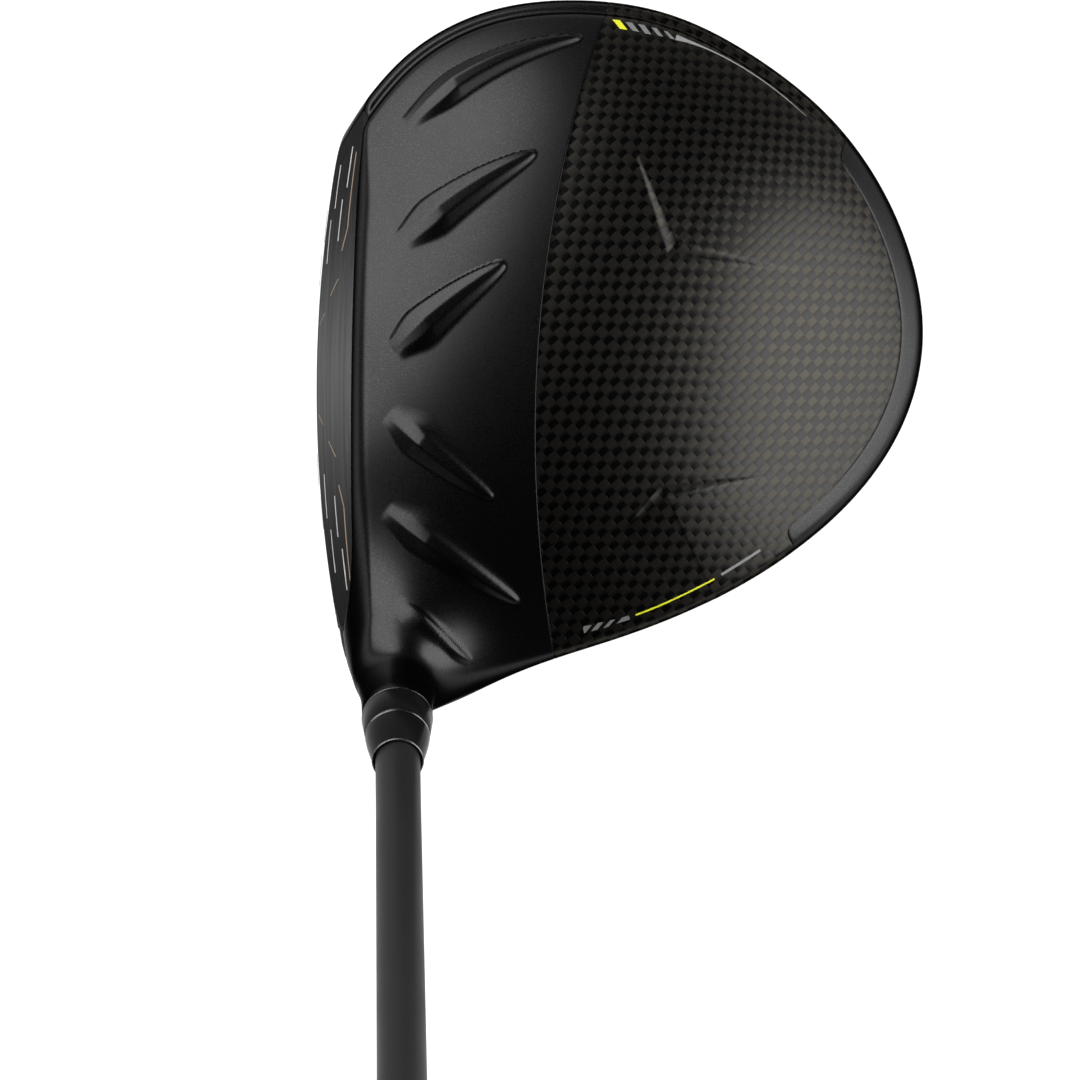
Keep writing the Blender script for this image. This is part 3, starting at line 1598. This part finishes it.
@dataclass
class CrownSkin:
    """Woven crown panel with its creases."""

    across: int = 390
    depth: int = 216
    under_rings: int = 6
    thickness: float = 0.95
    gap: float = 0.0009  # share of the panel's depth left open at each edge
    front_lip: Pair = (0.05, -0.03)  # depths of the two rows behind each rolled edge
    rear_lip: Pair = (0.01, 0.06)

    def build(self, finish: Material) -> Piece:
        """A plate whose edges are rolled a little and stand a hair inside the recess.

        Its underside is a few rings that shrink from the edge to the middle, along lines from the
        inside point.

        Args:
            finish: Material of the panel.

        Returns:
            The finished piece.
        """
        seam, rim = bearings(LINES.seam(self.across)), LINES.rim(self.across)
        share = np.concatenate([
            [self.gap, self.gap, 0.0022, 0.006], np.linspace(0.016, 0.984, self.depth),
            [0.994, 0.9978, 1 - self.gap, 1 - self.gap],
        ])
        inset = np.zeros(len(share))
        inset[:3] = self.thickness, *self.front_lip
        inset[-3:] = *self.rear_lip, self.thickness
        ways = sweep(seam, rim, share)
        top = FORM.shoot(ways, np.broadcast_to(inset, ways.shape[:2]))
        loop, edge = outer_edge(top), outer_edge(ways)
        middle = np.broadcast_to(unit(ways.reshape(-1, 3).mean(axis=0)), edge.shape)
        inward = sweep(edge, middle, np.linspace(0.0, 1.0, self.under_rings + 1))
        under = FORM.shoot(inward, np.full(inward.shape[:2], self.thickness), detailed=False)
        wall = np.stack([loop, under[:, 0]])
        solid = Solid()
        for grid in (top, wall, under):
            solid.add(grid)
        piece = solid.build("crown_skin")
        lay_map(piece, crown_map)
        settle_piece(piece, Body.HEAD, ("crown_panel",), finish)
        return piece


@dataclass
class FaceSkin:
    """Brushed face with its rolled edge and an engraved oval, and the marks on it."""

    around: int = 420
    rings: int = 70
    thickness: float = 1.4
    oval: tuple[float, float, float, float] = (4.0, 27.0, 41.0, 18.0)
    groove: float = 0.12
    groove_width: float = 0.35

    def build(self, finish: Material) -> Piece:
        """Rings shrink from the edge to the middle; the oval is a fine round groove.

        Args:
            finish: Material of the face.

        Returns:
            The finished piece.
        """
        loop = LINES.face_edge(0.0, 2.0 * math.pi, self.around)
        loop[-1] = loop[0]
        share = np.concatenate([[0.0018, 0.0018, 0.004, 0.009], np.linspace(0.018, 1.0, self.rings)])
        drop = np.zeros(len(share))
        drop[:3] = self.thickness, *PAINT_LIP
        y0, z0 = LINES.face_middle
        y = loop[:, 1:2] + (y0 - loop[:, 1:2]) * share
        z = loop[:, 2:3] + (z0 - loop[:, 2:3]) * share
        oval_y, oval_z, half_width, half_height = self.oval
        ring = (np.hypot((y - oval_y) / half_width, (z - oval_z) / half_height) - 1.0) * half_height
        depth = drop[None, :] + self.groove * np.exp(-((ring / self.groove_width) ** 2))
        top = np.stack([FORM.face_x(y, z) + depth, y, z], axis=-1)
        inner = np.linspace(0.0, 1.0, 4)[None, :, None]
        back = np.array([FORM.face_x(y0, z0) + self.thickness, y0, z0])
        under = top[:, :1] * (1.0 - inner) + back * inner
        solid = Solid()
        solid.add(top)
        solid.add(under)
        piece = solid.build("face_skin")
        settle_piece(piece, Body.HEAD, ("face_plate",), finish)
        return piece


class Ink(Enum):
    """Colours of the printed marks."""

    YELLOW = (0.72, 0.74, 0.02)
    PALE = (0.24, 0.24, 0.24)
    GREY = (0.17, 0.17, 0.17)
    WHITE = (0.62, 0.62, 0.60)
    BRONZE = (0.22, 0.13, 0.05)


@dataclass(frozen=True)
class Patch:
    """A four-sided printed mark, given by its corners row by row."""

    corners: tuple[Pair, Pair, Pair, Pair]

    def flat(self) -> Array:
        """Plan grid of the mark: the corners mixed by their shares along and across.

        Returns:
            Array of row, column and coordinate.
        """
        first, second, third, fourth = np.array(self.corners, float)
        u = np.linspace(0.0, 1.0, 9)[:, None, None]
        v = np.linspace(0.0, 1.0, 9)[None, :, None]
        return (first * (1.0 - u) + second * u) * (1.0 - v) + (third * (1.0 - u) + fourth * u) * v


@dataclass(frozen=True)
class Stripe:
    """A printed line through plan points, with its width at each of them."""

    points: tuple[Pair, ...]
    widths: tuple[float, ...]

    def flat(self) -> Array:
        """Plan grid of the line: a cubic in the way along it, set off square by shares of its width.

        Returns:
            Array of row, column and coordinate.
        """
        points = np.array(self.points, float)
        way = np.concatenate([[0.0], np.cumsum(np.linalg.norm(np.diff(points, axis=0), axis=1))])
        place = np.linspace(0.0, way[-1], 70)
        degree = min(3, len(points) - 1)
        line = np.stack([np.polyval(np.polyfit(way, row, degree), place) for row in points.T], axis=-1)
        along = unit(np.gradient(line, axis=0))
        side = np.stack([-along[:, 1], along[:, 0]], axis=-1)[:, None, :]
        width = np.interp(place, way, self.widths)[:, None, None]
        return line[:, None, :] + side * width * np.linspace(-0.5, 0.5, 4)[None, :, None]


@dataclass
class Markings:
    """Plain printed stripes on the crown and the face, as thin films."""

    film: float = 0.03  # how far a film stands on the skin
    sunk: float = 0.05  # how far it reaches below
    line_width: float = 0.75
    crown: tuple[tuple[Ink, tuple[Patch | Stripe, ...]], ...] = (
        (Ink.YELLOW, (
            Patch(((18.8, 71.05), (20.25, 70.9), (20.2, 69.2), (21.65, 69.0))),
            Patch(((10.6, -45.9), (12.3, -45.75), (9.5, -47.65), (11.2, -47.5))),
            Stripe(((22.9, -43.45), (27.6, -41.6), (33.3, -38.95), (38.0, -36.5)), (0.32, 0.32, 0.32, 0.32)),
        )),
        (Ink.GREY, (
            Patch(((21.25, 70.6), (22.6, 70.4), (22.65, 68.85), (23.95, 68.6))),
            Patch(((23.7, 70.2), (24.95, 70.0), (25.05, 68.35), (26.25, 68.1))),
            Patch(((26.3, 69.55), (27.3, 69.4), (27.55, 67.95), (28.55, 67.7))),
            Patch(((28.7, 68.9), (29.4, 68.75), (29.95, 67.4), (30.85, 67.2))),
            Patch(((13.05, -45.55), (14.5, -45.35), (11.95, -47.2), (13.25, -46.9))),
            Patch(((15.65, -44.95), (16.7, -44.8), (14.4, -46.55), (15.6, -46.25))),
            Patch(((18.05, -44.45), (19.0, -44.25), (16.75, -45.95), (17.75, -45.65))),
            Patch(((20.35, -43.9), (21.6, -43.55), (19.25, -45.1), (21.8, -44.3))),
        )),
        (Ink.PALE, (
            Stripe(
                ((31.0, 67.6), (33.4, 66.85), (36.2, 65.9), (39.0, 64.55), (41.85, 63.05),
                 (44.7, 61.3), (47.5, 59.5), (50.3, 57.55), (53.2, 55.3), (56.1, 52.45)),
                (1.1, 0.6, 0.3, 0.24, 0.22, 0.21, 0.2, 0.18, 0.15, 0.06),
            ),
            Stripe(((39.3, -35.7), (42.9, -33.5), (46.8, -31.0)), (0.5, 0.5, 0.5)),
        )),
    )
    face: tuple[tuple[Ink, tuple[tuple[float, float, float, float], ...]], ...] = (
        (Ink.WHITE, (
            (38.7, 46.6, 32.4, 32.4), (28.5, 36.5, 29.0, 29.0), (35.0, 43.4, 20.8, 20.8),
            (24.4, 32.9, 16.8, 16.8), (28.7, 35.0, 8.2, 8.2), (20.3, 26.5, 5.6, 5.6),
            (-38.7, -30.8, 32.4, 32.4), (-28.5, -20.6, 29.0, 29.0), (-35.4, -27.1, 20.8, 20.8),
            (-24.9, -16.4, 16.8, 16.8), (-27.0, -20.7, 8.2, 8.2), (-18.5, -12.3, 5.6, 5.6),
        )),
        (Ink.BRONZE, (
            (30.8, 45.4, 37.9, 36.9), (26.5, 30.7, 34.3, 37.9), (18.0, 21.1, 25.1, 32.7),
            (12.7, 14.8, 11.1, 18.5), (-37.4, -22.8, 36.9, 37.9), (-22.7, -18.5, 37.9, 34.3),
            (-13.1, -10.0, 32.7, 25.1), (-6.8, -4.7, 18.5, 11.1),
        )),
    )

    def film_over(self, solid: Solid, under: Array, normal: Array) -> None:
        """A closed film: its top, its bottom and a wall all round.

        Args:
            solid: Where the film goes.
            under: Grid of points on the skin.
            normal: Outward directions there.
        """
        top = under + normal * self.film
        low = under - normal * self.sunk
        solid.add(top)
        solid.add(low)
        for edge in (np.s_[0], np.s_[-1], np.s_[:, 0], np.s_[:, -1]):
            solid.add(np.stack([top[edge], low[edge]]))

    @staticmethod
    def print_in(ink: Ink, solid: Solid, name: str, ink_name: str, slot: str) -> None:
        """Make the piece that holds all marks of one colour and tie it to the head.

        Args:
            ink: Colour of the marks.
            solid: Films of the marks.
            name: First part of the piece's name.
            ink_name: First part of the finish's name.
            slot: Material slot of the record.
        """
        colour = ink.name.lower()
        piece = solid.build(f"{name}_{colour}")
        finish = Moulded(f"{ink_name}_{colour}", ink.value, 0.42, spread=0.08).make()
        settle_piece(piece, Body.HEAD, (), finish)

    def build(self) -> None:
        """Lay the stripes of each colour on crown and face."""
        for ink, marks in self.crown:
            solid = Solid()
            for mark in marks:
                grid = mark.flat()
                points = FORM.carve(FORM.over_plan(grid.reshape(-1, 2)).reshape(*grid.shape[:2], 3))
                self.film_over(solid, points, FORM.normal(points))
            self.print_in(ink, solid, "crown_stripe", "ink", "satin_paint")
        for ink, lines in self.face:
            solid = Solid()
            for first, last, low, high in lines:
                y = np.linspace(first, last, 14)[:, None] + np.zeros(3)
                z = np.linspace(low, high, 14)[:, None] + np.array([-0.5, 0.0, 0.5]) * self.line_width
                points = np.stack([FORM.face_x(y, z), y, z], axis=-1)
                self.film_over(solid, points, unit(points - FORM.face_centre))
            self.print_in(ink, solid, "face_line", "face_ink", "face_metal")


# ---------------------------------------------------------------- shaft side
def turned(
    name: str,
    *profiles: list[Pair],
    around: int = 128,
    relief: Callable[[Array, Array], Array] | None = None,
) -> Piece:
    """A piece turned about the shaft's axis.

    Each profile is a closed line of radius and distance along the axis; it is carried round the
    axis, and a relief may be taken off the radius.

    Args:
        name: Name of the piece.
        profiles: Closed outlines.
        around: Number of steps round the axis.
        relief: Depth to take off at each distance and angle.

    Returns:
        The new object.
    """
    solid = Solid()
    for profile in profiles:
        line = np.array([*profile, profile[0]])
        angle = np.linspace(0.0, 2.0 * math.pi, around + 1)[:, None]
        radius = np.broadcast_to(line[:, 0], (around + 1, len(line)))
        along = np.broadcast_to(line[:, 1], radius.shape)
        if relief is not None:
            radius = radius - relief(along, angle)
        grid = AXIS.place(radius, along, np.broadcast_to(angle, radius.shape))
        grid[-1] = grid[0]
        solid.add(grid)
    return solid.build(name, sharp=35.0)


@dataclass
class ShaftSide:
    """Shaft with its collar, trim ring, ferrule and grip."""

    tip: float = 4.255
    parallel: float = 100.0
    taper: float = 0.0033
    butt: float = 7.62
    shaft_ends: Pair = (45.5, 1148.0)
    wall: float = 1.2
    ring_bore: float = 4.4
    ferrule_bore: float = 4.27
    collar: Triple = (6.8, 68.5, 75.1)
    trim: Triple = (6.15, 75.1, 75.7)
    ferrule_top: float = 84.1
    ferrule_neck: float = 4.65
    grip_ends: Pair = (889.0, 1152.5)
    grip_radii: Pair = (8.9, 13.2)
    grip_pads: float = 12.0  # pads round the grip, on each side
    grip_slant: float = 0.42  # turn of the grooves to the millimetre
    grip_groove: Pair = (0.32, 0.22)  # depth and width of the grooves between the pads
    grip_ring: Pair = (0.35, 0.0022)  # depth of the ring grooves, and their width as a share of the grip
    grip_bands: Triple = (0.075, 0.49, 0.96)  # places of the ring grooves
    grip_zones: tuple[Pair, Pair] = ((0.10, 0.46), (0.52, 0.93))  # where the pads start and end

    def shaft_radius(self, along: float) -> float:
        """Radius of the tapered shaft."""
        return min(self.tip + max(along - self.parallel, 0.0) * self.taper, self.butt)

    def shaft(self) -> None:
        """Tube with a parallel tip and a steady taper."""
        low, high = self.shaft_ends
        steps = [low, 60.0, 84.0, *np.linspace(self.parallel, high, 60)]
        outer = [(self.shaft_radius(s), s) for s in steps]
        inner = [(self.shaft_radius(s) - self.wall, s) for s in (high, 600.0, self.parallel, low)]
        piece = turned("shaft_tube", outer + inner)
        paint = Moulded(
            "matt_shaft_paint", (0.017, 0.017, 0.0175), 0.42, grain=2600.0, spread=0.12, gloss=0.05,
        )
        settle_piece(piece, Body.SHAFT, ("shaft",), paint.make())

    def collar_piece(self) -> None:
        """Short band over the sleeve, with rolled edges."""
        r, low, high = self.collar
        profile = [
            (self.ring_bore, low + 0.02), (r - 0.35, low + 0.02), (r - 0.12, low + 0.08), (r, low + 0.3),
            (self.trim[0] + 0.02, high - 0.2), (self.trim[0] - 0.1, high - 0.01),
            (self.ring_bore, high - 0.01),
        ]
        piece = turned("collar_band", profile)
        finish = Moulded("collar_black", (0.006, 0.006, 0.0061), 0.3, gloss=0.04).make()
        settle_piece(piece, Body.SHAFT, ("sleeve_collar",), finish)

    def trim_piece(self) -> None:
        """Thin bright rings: at the hosel's end, between collar and ferrule, and at the ferrule's end."""
        r, low, high = self.trim
        rounds = np.linspace(0.0, 2.0 * math.pi, 13)[:-1]
        bore = self.ring_bore
        profiles = [[
            (bore, low), (r - 0.12, low), (r, low + 0.1), (r, high - 0.1), (r - 0.12, high), (bore, high),
        ]]
        wires = (
            (self.collar[0] - 0.15, self.collar[1] + 0.02, 0.11),
            (self.ferrule_neck + 0.02, self.ferrule_top - 0.12, 0.3),
        )
        for middle, place, thick in wires:
            profiles.append([(middle + thick * math.cos(a), place + thick * math.sin(a)) for a in rounds])
        piece = turned("trim_band", *profiles)
        silver = BrushedMetal("trim_silver", (0.14, 0.14, 0.145), 0.3, scratches=(900.0,) * 3, edge=0.5)
        settle_piece(piece, Body.SHAFT, ("trim_ring",), silver.make())

    def ferrule(self) -> None:
        """Rounded cone that leads from the collar to the shaft, with a beveled end."""
        low, high = self.trim[2], self.ferrule_top
        base, neck = self.trim[0] - 0.05, self.ferrule_neck
        share = np.linspace(0.0, 1.0, 24)
        radius = neck + (base - neck) * (1.0 - share**1.35)
        outer = list(zip(radius.tolist(), (low + 0.12 + (high - 0.3 - low - 0.12) * share).tolist()))
        profile = [
            (self.ferrule_bore, low), (base - 0.12, low), *outer,
            (neck - 0.1, high - 0.08), (neck - 0.25, high), (self.ferrule_bore, high),
        ]
        piece = turned("ferrule_cone", profile)
        finish = Moulded("ferrule_black", (0.006, 0.006, 0.0061), 0.24, depth=0.000004, gloss=0.04).make()
        settle_piece(piece, Body.SHAFT, ("ferrule",), finish)

    def grip(self) -> None:
        """Tapered rubber sleeve with rows of small slanted pads between plain bands."""
        low, high = self.grip_ends
        span = high - low
        steps = np.linspace(low + 1.4, high - 0.3, 560)
        share = (steps - low) / span
        first, last = self.grip_radii
        radius = first + (last - first) * share - 0.4 * np.sin(math.pi * share)
        outer = [
            (first - 0.75, low), (first - 0.3, low + 0.25), (first - 0.06, low + 0.8),
            *zip(radius.tolist(), steps.tolist()), (last - 0.4, high),
        ]
        inner = [(self.shaft_radius(s) + 0.2, s) for s in (high, low + 120.0, low)]
        outside = np.array([1.0] * len(outer) + [0.0] * len(inner) + [1.0])[None, :]

        def relief(along: Array, angle: Array) -> Array:
            """Fine diamond grooves in two zones and three plain ring grooves, on the outside only.

            Args:
                along: Distances along the shaft.
                angle: Angles round it.

            Returns:
                Depth to take off the radius.
            """
            share = (along - low) / span
            zone = sum(
                ease((share - start) / 0.02) * ease((end - share) / 0.02) for start, end in self.grip_zones
            )
            first = np.abs(np.sin(angle * self.grip_pads + along * self.grip_slant))
            second = np.abs(np.sin(angle * self.grip_pads - along * self.grip_slant))
            depth, width = self.grip_groove
            groove = np.exp(-((np.minimum(first, second) / width) ** 2)) * depth
            depth, width = self.grip_ring
            rings = sum(np.exp(-(((share - place) / width) ** 2)) for place in self.grip_bands) * depth
            return (groove * zone + rings) * (along > low + 3.0) * outside

        piece = turned("grip_sleeve", outer + inner, around=132, relief=relief)
        finish = Moulded("grip_rubber_black", (0.016, 0.016, 0.016), 0.72, grain=1300.0, depth=0.00004).make()
        settle_piece(piece, Body.SHAFT, ("grip",), finish)

    def build(self) -> None:
        """Make all pieces in order up the shaft."""
        for step in (self.collar_piece, self.trim_piece, self.ferrule, self.shaft, self.grip):
            step()


class KeptParts:
    """The parts kept as they are in the frame, with their finishes."""

    def build(self) -> None:
        """Dress each node."""
        rubber = Moulded("seal_black", (0.018, 0.018, 0.018), 0.7)
        steel = BrushedMetal("screw_steel", (0.34, 0.34, 0.35), 0.34, scratches=(1500.0, 1500.0, 120.0))
        weight = BrushedMetal("turned_weight", (0.26, 0.26, 0.27), 0.36, scratches=(260.0, 260.0, 2600.0))
        sleeve = BrushedMetal("anodised_sleeve", (0.30, 0.30, 0.32), 0.38, scratches=(700.0, 700.0, 2000.0))
        groups = (
            (steel, ("weight_screw", "hosel_screw", "screw_washer")),
            (rubber, ("weight_gasket", "seal_ring")),
            (BrushedMetal("cast_grey", (0.36, 0.36, 0.37), 0.45, scratches=(900.0,) * 3), ("hosel_tube",)),
            (weight, ("back_weight",)),
            (sleeve, ("sleeve",)),
            (Moulded("natural_plastic", (0.72, 0.70, 0.62), 0.5), ("screw_retainer",)),
            (Moulded("plug_plastic", (0.60, 0.58, 0.50), 0.55), ("tip_plug",)),
            (Moulded("paper_tape", (0.62, 0.58, 0.46), 0.8, grain=900.0), ("grip_tape",)),
            (Moulded("cap_rubber_black", (0.016,) * 3, 0.72, grain=1300.0, depth=0.00004), ("grip_cap",)),
        )
        for finish, names in groups:
            material = finish.make()
            for name in names:
                dress(bpy.data.objects[name], material)
                LOG.info("%s keeps its shape", name)


# ---------------------------------------------------------------- stage
@dataclass
class Studio:
    """Camera, floor, lamps and world."""

    camera_place: Triple = (-0.039, -0.0291, 2.126)
    camera_aim: Triple = (0.005, -0.0291, 0.026)
    lens: float = 362.8
    floor_half: float = 14000.0
    floor_drop: float = 0.4
    floor_shade: float = 0.30
    floor_glow: float = 0.93  # own light of the floor as the camera and the reflections see it

    def camera(self) -> None:
        """Long lens high over the head, looking down and a little to the back."""
        data = bpy.data.cameras.new("camera")
        data.sensor_width, data.lens, data.clip_end = 36.0, self.lens, 100.0
        item = bpy.data.objects.new("camera", data)
        bpy.context.collection.objects.link(item)
        item.location = self.camera_place
        back = (Vector(self.camera_place) - Vector(self.camera_aim)).normalized()
        right = Vector((0.0, 1.0, 0.0)).cross(back).normalized()
        up = back.cross(right)
        item.rotation_mode = "QUATERNION"
        item.rotation_quaternion = Matrix((right, up, back)).transposed().to_quaternion()
        bpy.context.scene.camera = item

    def floor(self) -> None:
        """Wide pale floor just under the sole; seen from below it lets the light through."""
        solid = Solid()
        side = np.linspace(-self.floor_half, self.floor_half, 15)
        level = np.full((len(side), len(side)), -self.floor_drop)
        solid.add(np.stack([*np.meshgrid(side, side, indexing="ij"), level], axis=-1))
        mesh = bpy.data.meshes.new("floor")
        mesh.from_pydata((solid.points[0] * MM).tolist(), [], solid.faces[0].tolist())
        item = bpy.data.objects.new("floor", mesh)
        bpy.context.collection.objects.link(item)
        material = bpy.data.materials.new("pale_floor")
        material.use_nodes = True
        material.node_tree.nodes.clear()
        nodes = Nodes(material.node_tree)
        ray = nodes.node("LightPath", {}, {}).outputs
        seen = nodes.sum("MAXIMUM", ray["Is Camera Ray"], ray["Is Glossy Ray"])
        seen = nodes.sum("MAXIMUM", seen, ray["Is Transmission Ray"])
        strength = nodes.sum("MULTIPLY", seen, self.floor_glow)
        glow = nodes.node("Emission", {}, {"Color": (1.0, 1.0, 1.0, 1.0), "Strength": strength})
        diffuse = nodes.node("BsdfDiffuse", {}, {"Color": (self.floor_shade,) * 3 + (1.0,)})
        both = nodes.node("AddShader", {}, {0: diffuse.outputs[0], 1: glow.outputs[0]})
        clear = nodes.node("BsdfTransparent", {}, {})
        back = nodes.node("NewGeometry", {}, {}).outputs["Backfacing"]
        mix = nodes.node("MixShader", {}, {0: back, 1: both.outputs[0], 2: clear.outputs[0]})
        nodes.node("OutputMaterial", {}, {0: mix.outputs[0]})
        mesh.materials.append(material)

    @staticmethod
    def lamp(name: str, place: Triple, size: Pair, power: float, turn: Triple | None = None) -> None:
        """Add a softbox that faces the head, or is turned by the given angles from facing down.

        Args:
            name: Name of the lamp.
            place: Where its middle hangs.
            size: Width and height.
            power: Power in watts.
            turn: Angles about X, Y and Z.
        """
        data = bpy.data.lights.new(name, "AREA")
        data.shape, data.size, data.size_y, data.energy = "ELLIPSE", size[0], size[1], power
        item = bpy.data.objects.new(name, data)
        bpy.context.collection.objects.link(item)
        item.location = place
        if turn is None:
            item.rotation_mode = "QUATERNION"
            item.rotation_quaternion = (Vector(place) - LAMP_AIM).to_track_quat("Z", "Y")
        else:
            item.rotation_euler = turn

    def world(self) -> None:
        """Sky that is dark overhead and pale at the horizon and below."""
        world = bpy.data.worlds.new("studio")
        bpy.context.scene.world = world
        world.use_nodes = True
        world.node_tree.nodes.clear()
        nodes = Nodes(world.node_tree)
        around = nodes.node("TexCoord", {}, {}).outputs["Generated"]
        ramp = nodes.node("ValToRGB", {}, {0: nodes.node("SeparateXYZ", {}, {0: around}).outputs["Z"]})
        seen = nodes.node("LightPath", {}, {}).outputs["Is Camera Ray"]
        light = nodes.node("Background", {}, {"Color": nodes.blend(seen, ramp.outputs[0], (1.0, 1.0, 1.0))})
        nodes.node("OutputWorld", {}, {0: light.outputs[0]})
        stops = ramp.color_ramp.elements
        stops[0].position, stops[0].color = 0.02, (0.30, 0.30, 0.30, 1.0)
        stops[1].position, stops[1].color = 0.75, (0.01, 0.01, 0.01, 1.0)
        for place, shade in ((0.12, 0.12), (0.30, 0.03)):
            stop = stops.new(place)
            stop.color = (shade, shade, shade, 1.0)

    def build(self) -> None:
        """Set up the whole stage."""
        self.camera()
        self.floor()
        self.lamp("front_softbox", (-1.25, 1.80, 1.04), (2.50, 4.50), 99.0, (0.0, 0.0, 0.0))
        self.lamp("rear_softbox", (1.20, -0.04, 0.64), (1.80, 1.30), 23.7)
        self.world()
        bpy.context.scene.view_settings.view_transform = "Standard"


def main() -> None:
    """Build every piece in order."""
    logging.basicConfig(level=logging.INFO, format="%(message)s")
    Studio().build()
    paint = SparklePaint().make()
    HeadShell().build(paint)
    CrownSkin().build(WovenFibre().make())
    FaceSkin().build(BrushedFace().make())
    Markings().build()
    ShaftSide().build()
    KeptParts().build()


if __name__ == "__main__":
    main()
